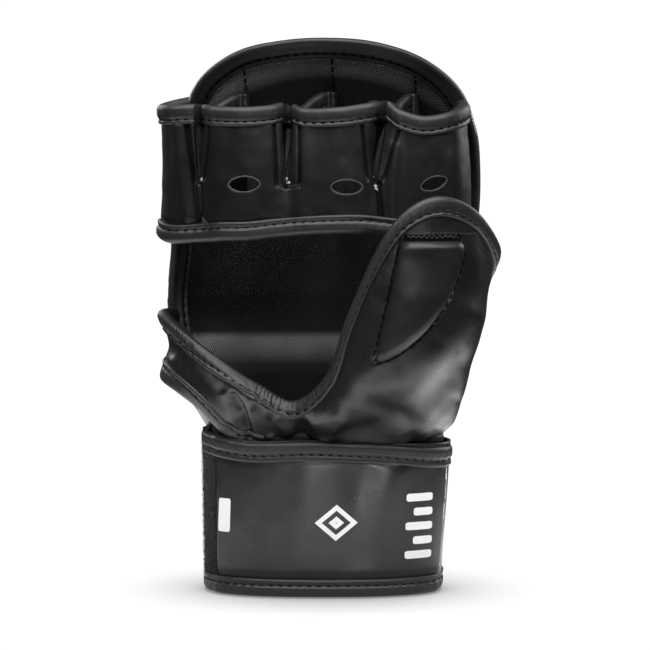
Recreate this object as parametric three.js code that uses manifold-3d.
// Right-hand MMA glove, built as an assembly of sewn pieces.
// Millimetres, +Z from the wrist to the fingers, -Y towards the palm, +X towards the thumb.
// The origin is on the floor plane, under the middle of the glove's overall box. Dimensions are
// written in a drawing frame with its origin at the centre of the wrist opening.
import * as THREE from 'three';
import { mergeVertices } from 'three/addons/utils/BufferGeometryUtils.js';
import Module from 'manifold-3d';

const wasm = await Module();
wasm.setup();

// ---- shared dimensions ----
const ORIGIN_SHIFT = [0.673, 5.635, 0];   // moves the drawing frame to the part's own frame
const LEATHER = 1.2;      // outer skin thickness
const LINING = 1.1;       // lining thickness
const GAP = 0.3;          // clearance between sewn layers
const BIND_T = 0.6;       // binding tape thickness
const BIND_W = 8;         // binding tape width on each face
const TUCK = 0.3;         // how far a bound sheet stops short of its edge

// ---- control nets ----
// Rows of [x, y, z] points. Along a row (v) the palm runs from its bound edge to the far edge,
// and the others from bottom to top. From row to row (u) they run across the glove, -X to +X.
const NET_PALM = [
  [[-74.5,14,128.5],[-73.5,13,122.4],[-72.6,13,114.4],[-73.2,14,106.3],[-73.7,15,99.6]],
  [[-78.2,-2,127.5],[-75.5,-1,120],[-73.5,0,112],[-74.8,1,104.9],[-76.7,2,97.8]],
  [[-67.4,-15,120.3],[-66.4,-17,113.6],[-66.5,-15,106.5],[-68,-13,99.9],[-68.5,-13,93]],
  [[-50.9,-26,108.7],[-51.6,-30,102.6],[-53.2,-26,96.3],[-55.2,-22,90.5],[-56.2,-19,84.2]],
  [[-33.4,-33,96.4],[-35,-38,91.4],[-37.5,-33,85],[-39.9,-27,78.5],[-41.5,-22,70.3]],
  [[-16.1,-36,87.1],[-16.5,-38,83.2],[-17,-35,77.9],[-17.5,-30,72],[-18,-28,64.4]],
  [[0.7,-43,103.1],[1.1,-47,94.4],[1.6,-44,85.1],[1.6,-34,75.1],[1.6,-28.5,63.6]],
  [[9.2,-49,130],[11.4,-53,115],[14.1,-53,98.9],[16.9,-42,81.3],[18.5,-28,63.5]],
  [[21.6,-53,158.3],[24.2,-58,137.2],[27.7,-60,114.2],[31.6,-49,90.1],[34.1,-25.5,63.3]],
  [[34,-54,175.3],[37,-59,149.7],[41,-60,122.6],[44.2,-46,94.8],[46.2,-18.5,63]],
  [[49.7,-51,181.9],[52.3,-54,153.9],[54.3,-51,124.8],[55.1,-34,96],[52.6,-8,62.8]],
  [[65.9,-41,175.9],[67.2,-42,149],[65.9,-35,122.5],[62.1,-20,94.9],[54.4,2,65]],
  [[76.8,-24,160.6],[73.3,-22,140.9],[70.1,-15,120.3],[64.8,-4,97.3],[56.7,12,70.6]],
  [[75,-9,150.5],[72.4,-6,136],[69.5,-1,120],[64.4,8,99.2],[58.4,19,78]],
  [[71.6,5,135],[69.9,7,127.4],[67.7,10,118.4],[64.7,14,105.4],[59.9,22,89.6]],
  [[68.3,13,125.2],[67,15,121.3],[65.8,17,116],[64,19,109.8],[62.2,22,103.4]],
];
const NET_BAR = [
  [[-65,13,162.8],[-62.1,13,194.7],[-59.9,9,228.2]],
  [[-73.3,3,162.1],[-71.8,2,194.7],[-69.8,1,226.2]],
  [[-77.9,-6,163.8],[-76.3,-7,194.7],[-77.2,-7,223.7]],
  [[-72.6,-17,161.3],[-71.6,-17,192.5],[-72.4,-18,223]],
  [[-55.8,-26,162],[-57.6,-24,192.5],[-59.4,-22,223.4]],
  [[-48.3,-31,162.6],[-50.1,-30,192.5],[-51.9,-27,222.4]],
  [[-36.9,-34,164.1],[-37.7,-34,192.5],[-38.7,-31,221.9]],
  [[-25.6,-33,165.4],[-26.5,-32,192.5],[-26.5,-28,222.8]],
  [[-17.5,-31,166.3],[-18.4,-27,192.5],[-19.3,-23,224.3]],
  [[-9.3,-34,166.8],[-11.1,-33,192.5],[-10.6,-29,221.5]],
  [[4.3,-37,167.3],[5.2,-37,192.5],[4.3,-33,221.8]],
  [[15.1,-36,167.3],[15.1,-34,192.5],[17.9,-30,223.7]],
  [[22.4,-32,166.7],[22.5,-28,191.6],[26.1,-24,225.2]],
  [[30.5,-33,165.9],[31.4,-32,191.2],[32.8,-29,220.6]],
  [[43.6,-34,165],[43.6,-34,190.7],[43.6,-31,217.8]],
  [[55.2,-29,163.9],[57.4,-29,190.7],[56.1,-25,220.2]],
  [[63.6,-15,163.6],[64.9,-15,191.1],[62.6,-12,223.6]],
  [[64.9,2,163.6],[65.3,2,193.8],[62.3,1,226.6]],
];
// palm-side face of the padded guard on the back of the hand
const NET_GUARD_INNER = [
  [[-52.3,7,57.9],[-56.7,8,73.4],[-63.1,9,88.1],[-69.1,10,103.1],
    [-73.5,10,118.6],[-75.2,10,134.6],[-73.9,9,150.7],[-72.9,7.7,166.8],
    [-71.9,5.2,182.9],[-70.3,2.5,198.8],[-68.4,1,214.6]],
  [[-39.5,15.4,57],[-44.2,16.3,74.8],[-50.4,15.7,92],[-56.1,14,109.4],
    [-60.7,18.3,126.9],[-63,20.4,145],[-62.6,20.5,163.3],[-62.4,19.2,181.6],
    [-62.2,15.3,199.9],[-61.6,7.6,217.9],[-60.6,-2.1,235.6]],
  [[-26.4,20.4,56.5],[-30.4,21.2,75.8],[-35.5,19.1,94.7],[-39.9,16.4,113.7],
    [-43.5,24.6,132.4],[-45.3,27.2,151.9],[-44.7,27.2,171.7],[-44.4,25.8,191.4],
    [-44.1,19.4,211],[-43.5,7.1,230.2],[-42.9,-5.6,249]],
  [[-13.2,22.6,56.3],[-16.1,23.4,76.2],[-19.6,20.5,95.8],[-22.3,17.5,115.4],
    [-24.4,27.4,134.6],[-25.2,30.2,154.7],[-24,30.2,174.9],[-23.1,28.5,195.2],
    [-22.4,20.8,215.3],[-21.6,5.7,234.9],[-21.1,-7.8,254.1]],
  [[0,23,56.2],[-1.6,23.9,76.3],[-3.5,20.7,96.2],[-4.5,17.8,115.9],
    [-5,28,135.3],[-4.6,30.9,155.4],[-2.8,30.8,175.8],[-1.3,29,196.1],
    [-0.1,20.8,216.3],[0.7,4.9,236],[1.3,-9,255.2]],
  [[13.2,22.6,56.3],[12.8,23.4,76.1],[12.6,20.5,95.9],[13.3,17.5,115.4],
    [14.5,27.4,134.5],[15.9,30.2,154.4],[18.4,30.2,174.4],[20.5,28.6,194.5],
    [22.1,20.8,214.4],[23.1,5.8,233.9],[23.6,-8.4,252.9]],
  [[26.4,20.4,56.5],[27.1,21.2,75.6],[28.4,19.1,94.6],[30.7,16.3,113.4],
    [33.3,24.5,131.8],[35.7,27.1,150.8],[38.7,27.2,170],[41.2,25.8,189.2],
    [43.3,19.7,208.3],[44.3,7.3,227.2],[44.6,-6.9,245.5]],
  [[39.5,15.4,57],[40.8,16.3,74.6],[43.2,15.7,92],[46.6,14,109.2],
    [50.2,18.2,126.2],[53,20.3,143.7],[56,20.5,161.2],[58.7,19.1,178.8],
    [60.7,15.2,196.3],[61.6,7.1,213.8],[61.5,-4.1,230.9]],
  [[52.3,7,57.9],[53.3,8,73.3],[55.9,9,88.4],[59.7,10,103.3],
    [63,10,118.4],[65.3,10,133.6],[67.4,9,148.9],[69.1,7.7,164.2],
    [70.3,5,179.5],[70.2,2,194.8],[69.3,0,210]],
];
// back face of the same guard
const NET_GUARD_OUTER = [
  [[-52.6,14,57.2],[-57.3,16.2,72.6],[-64.1,17.9,87.4],[-70.4,19.5,102.4],
    [-74.9,19.5,118],[-76.7,19.5,134.1],[-75.3,18.5,150.4],[-74.1,17.2,166.6],
    [-72.9,14.7,182.7],[-71.1,12,198.8],[-68.9,10.5,214.7]],
  [[-39.7,24.2,56.1],[-44.7,25.7,73.9],[-51.3,31.2,90.8],[-57.4,33.9,108.1],
    [-62,35.6,126],[-64.4,38.3,144.3],[-64,40.1,162.8],[-63.8,39.2,181.4],
    [-63.4,34,199.9],[-62.4,22.8,218.1],[-61,7.4,235.9]],
  [[-26.6,29.2,55.6],[-30.7,30.5,74.9],[-36.1,38.1,93.2],[-40.8,41.3,112.1],
    [-44.4,44.4,131.4],[-46.3,48.7,151.2],[-45.8,51.5,171.2],[-45.4,49.4,191.3],
    [-45,41.3,211.2],[-44.2,24.1,230.7],[-43.2,3.9,249.4]],
  [[-13.3,30.8,55.4],[-16.2,32.3,75.4],[-19.9,40.5,94.3],[-22.8,43.9,113.7],
    [-24.8,47.6,133.6],[-25.6,52.4,154],[-24.5,55.3,174.5],[-23.6,52.6,195.1],
    [-22.8,42.6,215.6],[-22,22.8,235.4],[-21.2,1.8,254.5]],
  [[0,31,55.4],[-1.7,32.5,75.5],[-3.5,40.8,94.6],[-4.6,44.3,114.3],
    [-5,48.2,134.3],[-4.7,53,154.7],[-2.8,55.7,175.4],[-1.3,52.9,196.1],
    [-0.1,42.5,216.6],[0.8,21.9,236.5],[1.3,0.5,255.7]],
  [[13.3,30.8,55.4],[12.9,32.3,75.3],[12.8,40.5,94.3],[13.6,43.9,113.8],
    [14.7,47.6,133.5],[16.2,52.3,153.7],[18.8,55.2,174],[20.9,52.6,194.4],
    [22.5,42.8,214.7],[23.4,23,234.3],[23.7,1.1,253.3]],
  [[26.6,29.2,55.6],[27.3,30.5,74.7],[28.9,38,93.1],[31.4,41.3,111.8],
    [34,44.3,130.8],[36.5,48.5,150.1],[39.6,51.4,169.5],[42.2,49.4,189],
    [44.2,41.7,208.5],[44.9,24.4,227.5],[45,2.6,245.9]],
  [[39.7,24.2,56.1],[41.2,25.7,73.7],[44,31.1,90.7],[47.8,33.9,107.9],
    [51.3,35.5,125.3],[54.2,38.1,142.9],[57.4,39.8,160.7],[60,39.1,178.5],
    [61.9,33.8,196.3],[62.4,22.5,214],[61.9,5.4,231.1]],
  [[52.6,14,57.2],[53.9,16.2,72.5],[56.8,17.9,87.7],[60.9,19.5,102.6],
    [64.4,19.5,117.8],[66.7,19.5,133.1],[68.8,18.5,148.5],[70.4,17.2,163.9],
    [71.4,14.5,179.4],[71,11.5,194.8],[69.8,9.5,210.1]],
];
// a skin is a net with the sign that turns its normal away from the hand
const PALM = { net: NET_PALM, sign: -1 };
const BAR = { net: NET_BAR, sign: 1 };

// ---- vector and number helpers ----
const add = (a, b, k = 1) => [a[0] + b[0] * k, a[1] + b[1] * k, a[2] + b[2] * k];
const sub = (a, b) => [a[0] - b[0], a[1] - b[1], a[2] - b[2]];
const scale = (a, k) => a.map((x) => x * k);
const cross = (a, b) => [
  a[1] * b[2] - a[2] * b[1], a[2] * b[0] - a[0] * b[2], a[0] * b[1] - a[1] * b[0]];
const dot = (a, b) => a[0] * b[0] + a[1] * b[1] + a[2] * b[2];
const len = (a) => Math.hypot(a[0], a[1], a[2]);
const unit = (a) => {
  const l = len(a) || 1;
  return [a[0] / l, a[1] / l, a[2] / l];
};
const lerp = (a, b, t) => a + (b - a) * t;
const clamp = (x, low, high) => Math.min(high, Math.max(low, x));
const smooth = (a, b, x) => {
  const t = clamp((x - a) / (b - a), 0, 1);
  return t * t * (3 - 2 * t);
};
// n equal steps from a to b, both ends included
const range = (a, b, n) => Array.from({ length: n + 1 }, (_, i) => a + (b - a) * i / n);

// ---- surfaces ----
// Catmull-Rom curve through points, with reflected end points
function spline(pts, t) {
  const last = pts.length - 1;
  const x = clamp(t, 0, 1) * last;
  const i = Math.min(last - 1, Math.floor(x));
  const f = x - i;
  const get = (j) => {
    if (j < 0) return add(add(pts[0], pts[0]), pts[1], -1);
    if (j > last) return add(add(pts[last], pts[last]), pts[last - 1], -1);
    return pts[j];
  };
  const [p0, p1, p2, p3] = [get(i - 1), get(i), get(i + 1), get(i + 2)];
  return [0, 1, 2].map((k) => 0.5 * (2 * p1[k] + (p2[k] - p0[k]) * f
    + (2 * p0[k] - 5 * p1[k] + 4 * p2[k] - p3[k]) * f * f
    + (-p0[k] + 3 * p1[k] - 3 * p2[k] + p3[k]) * f * f * f));
}
const surf = (net, u, v) => spline(net.map((row) => spline(row, v)), u);
function normal(net, u, v) {
  const h = 0.004;
  const du = sub(surf(net, Math.min(1, u + h), v), surf(net, Math.max(0, u - h), v));
  const dv = sub(surf(net, u, Math.min(1, v + h)), surf(net, u, Math.max(0, v - h)));
  return unit(cross(du, dv));
}
// point at a level above a skin
const offset = ({ net, sign }, u, v, level) =>
  add(surf(net, u, v), normal(net, u, v), level * sign);

// ---- closed solid between two matching grids of points ----
function between(gridA, gridB) {
  const nu = gridA.length, nv = gridA[0].length;
  const a = (i, j) => i * nv + j;
  const b = (i, j) => nu * nv + i * nv + j;
  const tri = [];
  const quad = (p, q, r, s) => tri.push(p, q, r, p, r, s);
  for (let i = 0; i < nu - 1; i++) {
    for (let j = 0; j < nv - 1; j++) {
      quad(a(i, j), a(i + 1, j), a(i + 1, j + 1), a(i, j + 1));
      quad(b(i, j), b(i, j + 1), b(i + 1, j + 1), b(i + 1, j));
    }
  }
  for (let i = 0; i < nu - 1; i++) {
    quad(a(i, 0), b(i, 0), b(i + 1, 0), a(i + 1, 0));
    quad(a(i, nv - 1), a(i + 1, nv - 1), b(i + 1, nv - 1), b(i, nv - 1));
  }
  for (let j = 0; j < nv - 1; j++) {
    quad(a(0, j), a(0, j + 1), b(0, j + 1), b(0, j));
    quad(a(nu - 1, j), b(nu - 1, j), b(nu - 1, j + 1), a(nu - 1, j + 1));
  }
  const geo = new THREE.BufferGeometry();
  geo.setAttribute('position', new THREE.Float32BufferAttribute([gridA, gridB].flat(3), 3));
  geo.setIndex(tri);
  return outward(geo);
}
function volume(geo) {
  const p = geo.attributes.position, ix = geo.index;
  const corner = (t) => {
    const k = ix.getX(t);
    return [p.getX(k), p.getY(k), p.getZ(k)];
  };
  let total = 0;
  for (let t = 0; t < ix.count; t += 3) {
    total += dot(corner(t), cross(corner(t + 1), corner(t + 2))) / 6;
  }
  return total;
}
// turns the triangles over if they face inwards
function outward(geo) {
  if (volume(geo) < 0) {
    const ix = geo.index.array;
    for (let t = 0; t < ix.length; t += 3) [ix[t], ix[t + 1]] = [ix[t + 1], ix[t]];
  }
  return geo;
}

// ---- cut and join ----
function solid(geo) {
  geo.deleteAttribute('normal');
  geo.deleteAttribute('uv');
  const merged = mergeVertices(geo, 1e-4);
  return new wasm.Manifold(new wasm.Mesh({
    numProp: 3,
    vertProperties: new Float32Array(merged.attributes.position.array),
    triVerts: new Uint32Array(merged.index.array),
  }));
}
const solidBetween = (gridA, gridB) => solid(between(gridA, gridB));
// keeps the largest connected piece of a cut solid, with near-coincident vertices merged
function geometry(manifold) {
  const mesh = manifold.getMesh();
  let whole = new THREE.BufferGeometry();
  whole.setAttribute('position', new THREE.BufferAttribute(mesh.vertProperties, 3));
  whole.setIndex(Array.from(mesh.triVerts));
  whole = mergeVertices(whole, 1e-5);
  const points = whole.attributes.position, ix = whole.index.array;
  // union-find over the triangles' corners
  const parent = Array.from({ length: points.count }, (_, i) => i);
  const root = (i) => {
    while (parent[i] !== i) {
      parent[i] = parent[parent[i]];
      i = parent[i];
    }
    return i;
  };
  for (let t = 0; t < ix.length; t += 3) {
    parent[root(ix[t])] = root(ix[t + 1]);
    parent[root(ix[t + 1])] = root(ix[t + 2]);
  }
  const parts = new Map();
  for (let t = 0; t < ix.length; t += 3) {
    const r = root(ix[t]);
    if (!parts.has(r)) parts.set(r, []);
    parts.get(r).push(ix[t], ix[t + 1], ix[t + 2]);
  }
  let best = null, bestVolume = -1;
  for (const tri of parts.values()) {
    const part = new THREE.BufferGeometry();
    part.setAttribute('position', points);
    part.setIndex(tri);
    const v = Math.abs(volume(part));
    if (v > bestVolume) {
      bestVolume = v;
      best = tri;
    }
  }
  // renumber the vertices that the piece uses
  const used = new Map(), pos = [], tri = [];
  for (const k of best) {
    if (!used.has(k)) {
      used.set(k, used.size);
      pos.push(points.getX(k), points.getY(k), points.getZ(k));
    }
    tri.push(used.get(k));
  }
  const out = new THREE.BufferGeometry();
  out.setAttribute('position', new THREE.Float32BufferAttribute(pos, 3));
  out.setIndex(tri);
  return out;
}
// a very large box whose face passes through `point`, filling the side that `direction` points to
function halfSpace(point, direction) {
  const size = 600;
  const box = new THREE.BoxGeometry(size, size, size);
  box.translate(0, 0, size / 2);
  box.applyQuaternion(new THREE.Quaternion().setFromUnitVectors(
    new THREE.Vector3(0, 0, 1), new THREE.Vector3(...unit(direction))));
  box.translate(...point);
  return solid(box);
}
// an [x, z] outline extruded towards -Y from yStart
function prism(outline, yStart, depth) {
  const shape = new THREE.Shape(outline.map(([x, z]) => new THREE.Vector2(x, z)));
  const geo = new THREE.ExtrudeGeometry(shape, { depth, bevelEnabled: false });
  geo.rotateX(Math.PI / 2);
  geo.translate(0, yStart, 0);
  return solid(geo);
}

// ---- assembly ----
const glove = new THREE.Group();
const MATERIALS = {
  leather: { color: 0x17171a, roughness: 0.42 },
  binding: { color: 0x141416, roughness: 0.5 },
  foam: { color: 0x2a2a2c, roughness: 0.9 },
  lining: { color: 0x111113, roughness: 0.85 },
  loop: { color: 0x1c1c1e, roughness: 0.95 },
  hook: { color: 0x101012, roughness: 0.8 },
  pad: { color: 0x1a1a1d, roughness: 0.4 },
};
function node(name, geo, material) {
  geo.computeVertexNormals();
  const look = new THREE.MeshStandardMaterial({ ...MATERIALS[material], metalness: 0 });
  const mesh = new THREE.Mesh(geo, look);
  mesh.name = name;
  glove.add(mesh);
}

// =====================  wrist cuff  =====================
// Angles are in degrees round the cuff: 0 at the palm (-Y), 90 at the thumb (+X), 180 at the back.
// Levels are millimetres outwards from the cuff's nominal surface.
const CUFF_H = 75;              // nominal height
const CUFF_A = [54, 57.9];      // half width at the floor and at CUFF_H
const CUFF_B = [32, 34];        // half depth, likewise
const CUFF_X = [-1.6, -0.5];    // centre line, likewise
const CUFF_P = 2.4;             // superellipse exponent of the wrist section
const CUFF_TOP = 73.5;          // height of the top edge on the centre line
const CUFF_TILT = -0.05;        // slope of the top edge across the width
const PALM_HALF = [-139.5, 89.5];
const BACK_HALF = [91.5, 218];
const PANEL_END = 63.3;         // thumb-side end of the palm panel
const ANCHOR_START = 66.2;      // where the strap's anchor panel begins
const STRAP_HINGE = 100.25;     // the strap's fold
const STRAP_SPLIT = 160.5;      // joint between the strap's two halves
const STRAP_END = 216.4;        // end of the far half's panel and tapes
const STRAP_DROP = 0.2;         // how far the strap's top tape sits below the cuff's top edge
const STRAP_OUT = 2.25;         // outer and inner faces of the strap's tapes, from its panel
const STRAP_IN = -0.9;
// distances of a wall's bottom and top edges from the cuff's
const SKIN_EDGES = [1.2, 1.4];
const FOAM_EDGES = [1.4, 1.6];
const HOOK_EDGES = [9, 9.5];

function cuffPoint(phi, z, level) {
  const k = z / CUFF_H;
  const a = lerp(...CUFF_A, k), b = lerp(...CUFF_B, k);
  const t = phi * Math.PI / 180;
  const s = Math.sin(t), c = Math.cos(t);
  const x = a * Math.sign(s) * Math.abs(s) ** (2 / CUFF_P);
  const y = -b * Math.sign(c) * Math.abs(c) ** (2 / CUFF_P);
  const nx = Math.sign(x) * Math.abs(x / a) ** (CUFF_P - 1) / a;
  const ny = Math.sign(y) * Math.abs(y / b) ** (CUFF_P - 1) / b;
  const l = Math.hypot(nx, ny);
  return [lerp(...CUFF_X, k) + x + nx / l * level, y + ny / l * level, z];
}
const cuffTopZ = (phi, level = 0) => CUFF_TOP + CUFF_TILT * cuffPoint(phi, CUFF_H, level)[0];
// shared angles, so that neighbouring layers stay parallel
const CUFF_ANGLES = [...range(-145, 55, 22), PANEL_END, ANCHOR_START, ...range(73, 216, 16)];
const anglesIn = (from, to) =>
  [from, ...CUFF_ANGLES.filter((p) => p > from + 1.5 && p < to - 1.5), to];
// a level is a number or a function of the angle
const levelAt = (level, phi) => (typeof level === 'function' ? level(phi) : level);

function cuffWall([from, to], [bottomGap, topGap], inner, outer) {
  const face = (level) => anglesIn(from, to).map((phi) => {
    const n = levelAt(level, phi);
    return [cuffPoint(phi, bottomGap, n), cuffPoint(phi, cuffTopZ(phi, n) - topGap, n)];
  });
  return between(face(outer), face(inner));
}
// a folded binding tape over the cuff's bottom or top edge
function cuffTape([from, to], edge, outer, inner, { drop = 0, corner = 1 } = {}) {
  const chain = (depth) => anglesIn(from, to).map((phi) => {
    const out = levelAt(outer, phi) - depth;
    const inn = levelAt(inner, phi) + depth;
    const base = edge === 'bottom' ? 0 : cuffTopZ(phi) - drop;
    const into = edge === 'bottom' ? 1 : -1;
    const bevel = Math.min(corner, 0.42 * (out - inn));
    const section = [
      [BIND_W, out], [corner + 0.2, out], [depth, out - bevel],
      [depth, inn + bevel], [corner + 0.2, inn], [BIND_W, inn]];
    return section.map(([d, n]) => cuffPoint(phi, base + into * d, n));
  });
  return between(chain(0), chain(BIND_T));
}

// ---- palm half: its outer layers sink under the strap anchor on the thumb side ----
const sink = (a, b) => (phi) => lerp(a, b, smooth(PANEL_END, ANCHOR_START, phi));
const PALM_FOAM_IN = -6.9;
const palmLiningOut = PALM_FOAM_IN - GAP;
node('cuff_palm_foam', cuffWall(PALM_HALF, FOAM_EDGES, PALM_FOAM_IN, sink(-0.8, -2.3)), 'foam');
node('cuff_palm_lining',
  cuffWall(PALM_HALF, SKIN_EDGES, palmLiningOut - LINING, palmLiningOut), 'lining');
node('cuff_palm_panel', cuffWall([-61, PANEL_END], SKIN_EDGES, -0.4, 1), 'leather');
node('cuff_loop_patch', cuffWall([-150, -61.6], SKIN_EDGES, -0.4, 1), 'loop');
for (const edge of ['top', 'bottom']) {
  node(`cuff_${edge}_binding`, cuffTape(PALM_HALF, edge, sink(2, 0.6), -9.6), 'binding');
}
node('strap_anchor_panel',
  cuffWall([ANCHOR_START, STRAP_HINGE - 0.25], SKIN_EDGES, -1.8, -0.3), 'leather');

// ---- back half, under the strap ----
const BACK_FOAM = [-8.3, -5.4];   // inner and outer levels
const backLiningOut = BACK_FOAM[0] - GAP;
const backCoverIn = BACK_FOAM[1] + GAP;
node('cuff_back_foam', cuffWall(BACK_HALF, FOAM_EDGES, ...BACK_FOAM), 'foam');
node('cuff_back_lining',
  cuffWall(BACK_HALF, SKIN_EDGES, backLiningOut - LINING, backLiningOut), 'lining');
node('cuff_back_cover',
  cuffWall(BACK_HALF, SKIN_EDGES, backCoverIn, backCoverIn + LEATHER), 'leather');
for (const edge of ['top', 'bottom']) {
  node(`cuff_back_${edge}_binding`, cuffTape(BACK_HALF, edge, -2.9, -11), 'binding');
}

// ---- strap: near half and far half, rising off the cuff towards the tip ----
const rise = (d) => (phi) => -1.7 + 3.9 * smooth(163, 200, phi) + d;
// name, panel angles, tape angles
const STRAP_HALVES = [
  ['near', [STRAP_HINGE + 0.25, STRAP_SPLIT - 0.5], [STRAP_HINGE + 1.25, STRAP_SPLIT - 1.3]],
  ['far', [STRAP_SPLIT + 0.5, STRAP_END], [STRAP_SPLIT + 1.5, STRAP_END]],
];
for (const [half, panel, tape] of STRAP_HALVES) {
  node(`strap_${half}_panel`, cuffWall(panel, SKIN_EDGES, rise(0), rise(1.3)), 'leather');
  for (const [edge, drop] of [['top', STRAP_DROP], ['bottom', 0]]) {
    const folded = cuffTape(tape, edge, rise(STRAP_OUT), rise(STRAP_IN), { drop, corner: 0.7 });
    node(`strap_${half}_${edge}_binding`, folded, 'binding');
  }
}
node('strap_hook_patch', cuffWall([203, 211], HOOK_EDGES, rise(STRAP_IN), rise(-0.3)), 'hook');

// tape folded over the strap's free end, between the top and bottom tapes
function strapEndTape() {
  const TIP = 217.6;        // angle of the fold
  const END_MARGIN = 8.6;   // distance kept from the strap's top and bottom edges
  const chain = (depth) => range(0, 1, 4).map((k) => {
    // degrees back from the tip, level from the strap's panel
    const section = [
      [5.5, STRAP_OUT - depth], [0.9, STRAP_OUT - depth], [depth * 0.9, 1.2 - depth * 0.5],
      [depth * 0.9, 0.3], [0.9, STRAP_IN + depth], [5.5, STRAP_IN + depth]];
    return section.map(([back, level]) => {
      const phi = TIP - back;
      const z = lerp(END_MARGIN, cuffTopZ(phi) - STRAP_DROP - END_MARGIN, k);
      return cuffPoint(phi, z, rise(level)(phi));
    });
  });
  return between(chain(0), chain(BIND_T));
}
node('strap_end_binding', strapEndTape(), 'binding');

// =====================  knuckle guard and hand back  =====================
const KNUCKLE_Z = 136;      // flex line between the hand back and the knuckle guard
const KNUCKLE_GAP = 1;      // clearance on each side of it
const GUARD_GAP = 0.4;      // clearance between the guard's layers
const RIM_PROUD = 0.3;      // how far the rim stands out of both faces
const CLEARANCE = 1.2;      // kept round the guard by its neighbours
const GUARD_U = [0, 0.03, 0.07, 0.13, 0.21, 0.31, 0.43, 0.57, 0.69, 0.79, 0.87, 0.93, 0.97, 1];
const GUARD_V = [0.03, 0.13, 0.24, 0.35, 0.46, 0.57, 0.68, 0.79, 0.87, 0.93, 0.97, 1];

// point moved in Y by `level` measured square to the face, + towards the back of the hand
function guardPoint(net, u, v, level) {
  const [x, y, z] = surf(net, u, v);
  const ny = normal(net, clamp(u, 0.05, 0.95), clamp(v, 0.05, 0.95))[1];
  return [x, y + level / Math.max(0.6, Math.abs(ny)), z];
}
const guardSheet = (net, level) => GUARD_U.map((u) => GUARD_V.map((v) =>
  guardPoint(net, u, v, level)));
const innerFace = (level) => guardSheet(NET_GUARD_INNER, level);
const outerFace = (level) => guardSheet(NET_GUARD_OUTER, level);

// the guard's [x, z] outline: up the -X side, across the top, down the +X side
const guardOutline = [
  ...GUARD_V.map((v) => [0, v]),
  ...GUARD_U.slice(1, -1).map((u) => [u, 1]),
  ...[...GUARD_V].reverse().map((v) => [1, v]),
].map(([u, v]) => {
  const [x, , z] = surf(NET_GUARD_INNER, u, v);
  return [x, z];
});
// prism over that outline moved inwards by a distance, run on below the guard
function guardInset(distance) {
  const last = guardOutline.length - 1;
  const points = guardOutline.map(([x, z], i) => {
    const a = guardOutline[Math.max(0, i - 1)], b = guardOutline[Math.min(last, i + 1)];
    const dx = b[0] - a[0], dz = b[1] - a[1];
    const l = Math.hypot(dx, dz);
    return [x + dz / l * distance, z - dx / l * distance];
  });
  points.unshift([points[0][0] + 4, 20]);
  points.push([points[points.length - 1][0] - 4, 20]);
  return prism(points, 90, 140);
}
const field = guardInset(BIND_W);
const guardLayers = [
  ['foam', 'foam', outerFace(-LEATHER - GUARD_GAP), innerFace(LINING + GUARD_GAP)],
  ['cover', 'leather', outerFace(0), outerFace(-LEATHER)],
  ['lining', 'lining', innerFace(LINING), innerFace(0)],
].map(([name, material, a, b]) => [name, material, solidBetween(a, b).intersect(field)]);
const rimBand = solidBetween(outerFace(RIM_PROUD), innerFace(-RIM_PROUD))
  .subtract(guardInset(BIND_W - 0.5));

// envelope that the pieces in front are kept clear of; doubled end stations widen its rim
const envelopeU = [0, ...GUARD_U, 1], envelopeV = [0, ...GUARD_V, 1];
const envelopeFace = (net, level) => envelopeU.map((u, i) => envelopeV.map((v, j) => {
  const RIM = 3;
  const p = guardPoint(net, u, v, level);
  if (i === 0) p[0] -= RIM;
  if (i === envelopeU.length - 1) p[0] += RIM;
  if (j === envelopeV.length - 1) p[2] += RIM;
  return p;
}));
const envelope = solidBetween(
  envelopeFace(NET_GUARD_OUTER, CLEARANCE), envelopeFace(NET_GUARD_INNER, -CLEARANCE));

const aboveCuff = halfSpace([0, 0, CUFF_TOP + 0.9], [-CUFF_TILT, 0, 1]);
const handBack = aboveCuff.intersect(halfSpace([0, 0, KNUCKLE_Z - KNUCKLE_GAP], [0, 0, -1]));
const knuckles = halfSpace([0, 0, KNUCKLE_Z + KNUCKLE_GAP], [0, 0, 1]);
for (const [name, material, shell] of guardLayers) {
  node(`hand_back_${name}`, geometry(shell.intersect(handBack)), material);
}
for (const [side, x] of [['left', -1], ['right', 1]]) {
  const half = rimBand.intersect(handBack).intersect(halfSpace([0, 0, 0], [x, 0, 0]));
  node(`hand_rim_binding_${side}`, geometry(half), 'binding');
}
for (const [name, material, shell] of guardLayers) {
  node(`knuckle_${name}`, geometry(shell.intersect(knuckles)), material);
}
node('knuckle_rim_binding', geometry(rimBand.intersect(knuckles)), 'binding');

// =====================  edge tape on a skin  =====================
// Frame at one u on the v = 0 edge, or on the v = 1 edge if atEnd.
// point(s, level): s is the distance in from the edge. netV(s): the net's v at that distance.
function edgeFrame(skin, u, atEnd) {
  const STEPS = 40;
  const toNet = (v) => (atEnd ? 1 - v : v);
  const at = (v) => surf(skin.net, u, toNet(v));
  const edge = at(0);
  const inwards = unit(sub(at(0.03), edge));
  const lengths = [0];
  let prev = edge;
  for (let i = 1; i <= STEPS; i++) {
    const p = at(i / STEPS);
    lengths.push(lengths[i - 1] + len(sub(p, prev)));
    prev = p;
  }
  const vAt = (s) => {
    let i = 1;
    while (i < STEPS && lengths[i] < s) i++;
    const f = (s - lengths[i - 1]) / (lengths[i] - lengths[i - 1] || 1);
    return Math.min(1, (i - 1 + f) / STEPS);
  };
  return {
    point: (s, level) => (s <= 0
      ? add(offset(skin, u, toNet(0), level), inwards, s)
      : offset(skin, u, toNet(vAt(s)), level)),
    netV: (s) => toNet(vAt(s)),
  };
}
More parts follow.
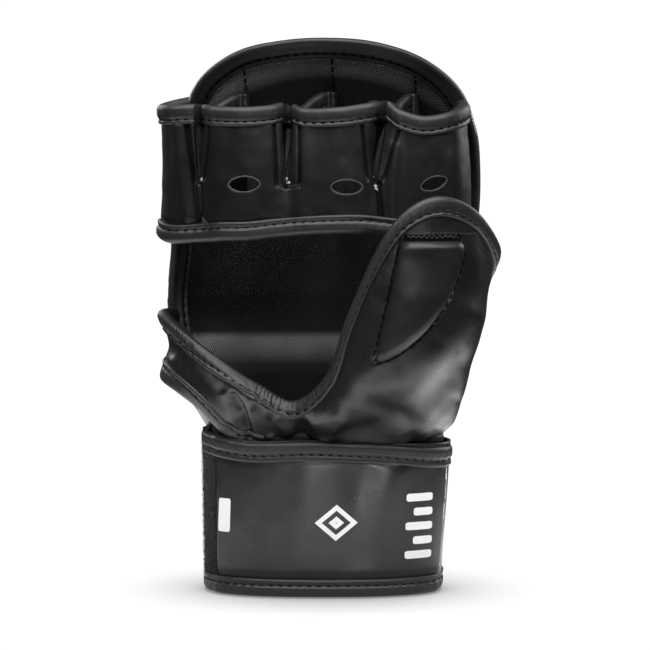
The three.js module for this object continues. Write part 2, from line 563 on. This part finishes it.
// binding folded over an edge, between an outer and an inner level
function edgeTape(skin, us, atEnd, outer, inner,
  { width = BIND_W, overhang = 1.2, thickness = BIND_T } = {}) {
  const frames = us.map((u) => edgeFrame(skin, u, atEnd));
  const chain = (depth) => {
    const fold = depth - overhang, corner = 0.9 + depth * 0.4;
    const section = [
      [width, outer - depth], [0, outer - depth], [fold, outer - corner],
      [fold, inner + corner], [0, inner + depth], [width, inner + depth]];
    return frames.map((frame) => section.map(([s, level]) => frame.point(s, level)));
  };
  return solidBetween(chain(0), chain(thickness));
}

// =====================  palm heel and thumb  =====================
const LINING_TOP = -LEATHER - GAP;   // level of a lining's outer face under a skin
const PALM_STEPS = 15;
const palmU = range(0, 1, PALM_STEPS).flatMap((u, i) =>
  ((i > 3 && i < 8) || i > 11 ? [u - 1 / (2 * PALM_STEPS), u] : [u]));
// columns: just inside the bound edge, at the tape's width, then on to near the far edge
const palmSheet = (level) => palmU.map((u) => {
  const frame = edgeFrame(PALM, u, false);
  const rest = [1, 2, 3].map((k) =>
    offset(PALM, u, lerp(frame.netV(BIND_W), 0.985, k / 3), level));
  return [frame.point(TUCK, level), frame.point(BIND_W, level), ...rest];
});
const palmEdge = edgeTape(PALM, palmU, false, 1.2, -3.9);
// a slightly larger tape, cut from the skin to leave room for the real one
const palmEdgeRoom = edgeTape(PALM, palmU, false, 1.45, -4.15,
  { width: BIND_W + 0.3, overhang: 1.4, thickness: BIND_T + 0.5 });
const palmSkin = solidBetween(palmSheet(0), palmSheet(-LEATHER)).subtract(palmEdgeRoom);
const palmLining = solidBetween(palmSheet(LINING_TOP), palmSheet(LINING_TOP - LINING));

// the thumb's flex line from A to B, with a wedge left open on its outer side
const THUMB_A = [-15, -38, 88], THUMB_B = [66, 14, 125];
const THUMB_FACING = [0.618, -0.629, -0.47];   // towards the outer side of the flex line
const THUMB_OPEN = 25 * Math.PI / 180;         // angle of the wedge
const THUMB_GAP = 0.5;                         // clearance on each side of the line
const flexAxis = unit(sub(THUMB_B, THUMB_A));
const flexUp = unit(cross(THUMB_FACING, flexAxis));
const flexOut = unit(sub(THUMB_FACING, scale(flexAxis, dot(THUMB_FACING, flexAxis))));
const wedgeUp = unit(sub(
  scale(flexUp, Math.cos(THUMB_OPEN)), scale(flexOut, Math.sin(THUMB_OPEN))));
const handSide = halfSpace(add(THUMB_A, flexUp, -THUMB_GAP), scale(flexUp, -1))
  .add(halfSpace([THUMB_A[0] - 6, 0, 0], [-1, 0, 0]));
const thumbSide = halfSpace(add(THUMB_A, flexUp, THUMB_GAP), flexUp)
  .intersect(halfSpace([THUMB_A[0] - 2, 0, 0], [1, 0, 0]))
  .intersect(halfSpace(add(THUMB_A, wedgeUp, THUMB_GAP), wedgeUp));
for (const [name, edgeName, side] of [
  ['palm_heel', 'palm_edge', handSide], ['thumb', 'thumb_edge', thumbSide]]) {
  const cut = (m) => geometry(m.subtract(envelope).intersect(aboveCuff).intersect(side));
  node(`${name}_panel`, cut(palmSkin), 'leather');
  node(`${name}_lining`, cut(palmLining), 'lining');
  node(`${edgeName}_binding`, cut(palmEdge), 'binding');
}

// ---- pad over the thumb skin ----
const PAD_OUTLINE = [   // x, z
  [33, 164.7], [59.2, 164.7], [60.1, 159.4], [57.9, 149.7], [53.5, 138.6], [46.4, 127.9],
  [37.5, 119], [28.2, 112.8], [20.7, 110.1], [23.3, 121.7], [27.3, 138.6], [30.4, 154.1],
];
const PAD_FOAM = [1.5, 4.6];    // inner and outer levels
const PAD_COVER = [PAD_FOAM[1] + GAP, 6];
const padBlock = prism(PAD_OUTLINE, -25, 60);
const padU = palmU.filter((u) => u > 6.6 / PALM_STEPS && u < 12.2 / PALM_STEPS);
const padSheet = (level) => padU.map((u) => range(0.02, 0.72, 5).map((v) =>
  offset(PALM, u, v, level)));
const padLayer = ([inner, outer]) =>
  geometry(solidBetween(padSheet(outer), padSheet(inner)).intersect(padBlock));
node('thumb_pad_foam', padLayer(PAD_FOAM), 'foam');
node('thumb_pad_cover', padLayer(PAD_COVER), 'pad');

// =====================  grip bar, finger stalls  =====================
const BAR_STEPS = 17;
const BAR_LINING = 1;                                    // lining thickness
const SLOTS = [4, 8, 12].map((k) => k / BAR_STEPS);      // u of the slots between the fingers
const SLOT_U = 0.12 / BAR_STEPS;                         // half width of a slot in u
const VENTS = [   // x, z, half width, half height, tilt in degrees
  [-38.2, 187.1, 7, 3.4, 0], [8.3, 185.8, 7, 3.2, 0], [47.7, 187.6, 6, 2.9, 18],
];
const barU = range(0, 1, BAR_STEPS).flatMap((u) =>
  (SLOTS.some((c) => Math.abs(c - u) < 1e-6) ? [u - SLOT_U, u, u + SLOT_U] : [u]));
const barSheet = (level) => barU.map((u) => {
  const low = edgeFrame(BAR, u, false), high = edgeFrame(BAR, u, true);
  return [low.point(TUCK, level), low.point(BIND_W, level), offset(BAR, u, 0.5, level),
    high.point(BIND_W, level), high.point(TUCK, level)];
});
// slots run from part way up the bar out past its top edge
const slotCutters = SLOTS.map((c) => {
  const face = (level) => [c - SLOT_U, c, c + SLOT_U].map((u) => {
    const column = [0.42, 0.7, 1].map((v) => offset(BAR, u, v, level));
    return [...column, add(column[2], [0, 0, 6])];
  });
  return solidBetween(face(4), face(-6));
});
const ventCutters = VENTS.map(([x, z, halfWidth, halfHeight, tilt]) => {
  const hole = new THREE.CylinderGeometry(1, 1, 16, 20);
  hole.scale(halfWidth, 1, halfHeight);
  hole.rotateY(-tilt * Math.PI / 180);
  hole.translate(x, -34, z);
  return solid(hole);
});
const barLayer = (outer, inner) => {
  let layer = solidBetween(barSheet(outer), barSheet(inner));
  for (const cutter of [...slotCutters, ...ventCutters]) layer = layer.subtract(cutter);
  return geometry(layer.subtract(envelope));
};
const barTape = (us, atEnd, outer, inner) =>
  geometry(edgeTape(BAR, us, atEnd, outer, inner).subtract(envelope));
node('grip_bar_panel', barLayer(0, -LEATHER), 'leather');
node('grip_bar_lining', barLayer(LINING_TOP, LINING_TOP - BAR_LINING), 'lining');
node('grip_bar_bottom_binding', barTape(barU, false, 1.1, -3.6), 'binding');
['little', 'ring', 'middle', 'index'].forEach((finger, i) => {
  const from = i === 0 ? 0 : SLOTS[i - 1] + SLOT_U;
  const to = i === SLOTS.length ? 1 : SLOTS[i] - SLOT_U;
  const us = barU.filter((u) => u > from - 1e-6 && u < to + 1e-6);
  node(`finger_loop_binding_${finger}`, barTape(us, true, 1, -3.5), 'binding');
});

// room the bar and its tapes take up, kept free by the walls behind it
const barRoomFace = (level) => barU.map((u) => {
  const column = [0, 0.5, 1].map((v) => offset(BAR, u, v, level));
  return [add(column[0], [0, 0, -3]), ...column, add(column[2], [0, 0, 3])];
});
const barRoom = solidBetween(barRoomFace(2), barRoomFace(-4.4));

// walls between the fingers, from the grip bar to the lining of the guard
const DIVIDERS = [   // [x, y] at the bar, [x, y] at the guard
  [[-60, -19.5], [-39.6, 36]], [[-19.5, -21], [2.5, 38]], [[26, -21.5], [42, 36]],
];
const DIVIDER_HALF = 1.1;   // half thickness
DIVIDERS.forEach(([p, q], i) => {
  const along = unit([q[0] - p[0], q[1] - p[1], 0]);
  const across = [along[1], -along[0], 0];
  const net = [0, 0.34, 0.67, 1].map((t) => [lerp(176, 172, t), 203, lerp(225, 231, t)]
    .map((z) => [lerp(p[0], q[0], t), lerp(p[1], q[1], t), z]));
  const trim = (m) => geometry(m.subtract(envelope).subtract(barRoom));
  const face = (n) => range(0, 1, 3).map((u) => [0, 0.5, 1].map((v) =>
    add(surf(net, u, v), across, n)));
  node(`finger_divider_${i + 1}`,
    trim(solidBetween(face(DIVIDER_HALF), face(-DIVIDER_HALF))), 'leather');
  const tape = (depth) => {
    // distance below the wall's top edge, distance across the wall
    const section = [
      [BIND_W, 2 - depth], [0, 2 - depth], [-1.2 + depth, 1 - depth * 0.5],
      [-1.2 + depth, -1 + depth * 0.5], [0, -2 + depth], [BIND_W, -2 + depth]];
    return range(0, 1, 3).map((u) => section.map(([down, n]) =>
      add(add(surf(net, u, 1), across, n), [0, 0, -down])));
  };
  node(`finger_divider_binding_${i + 1}`, trim(solidBetween(tape(0), tape(BIND_T))), 'binding');
});

glove.position.set(...ORIGIN_SHIFT);

export default glove;
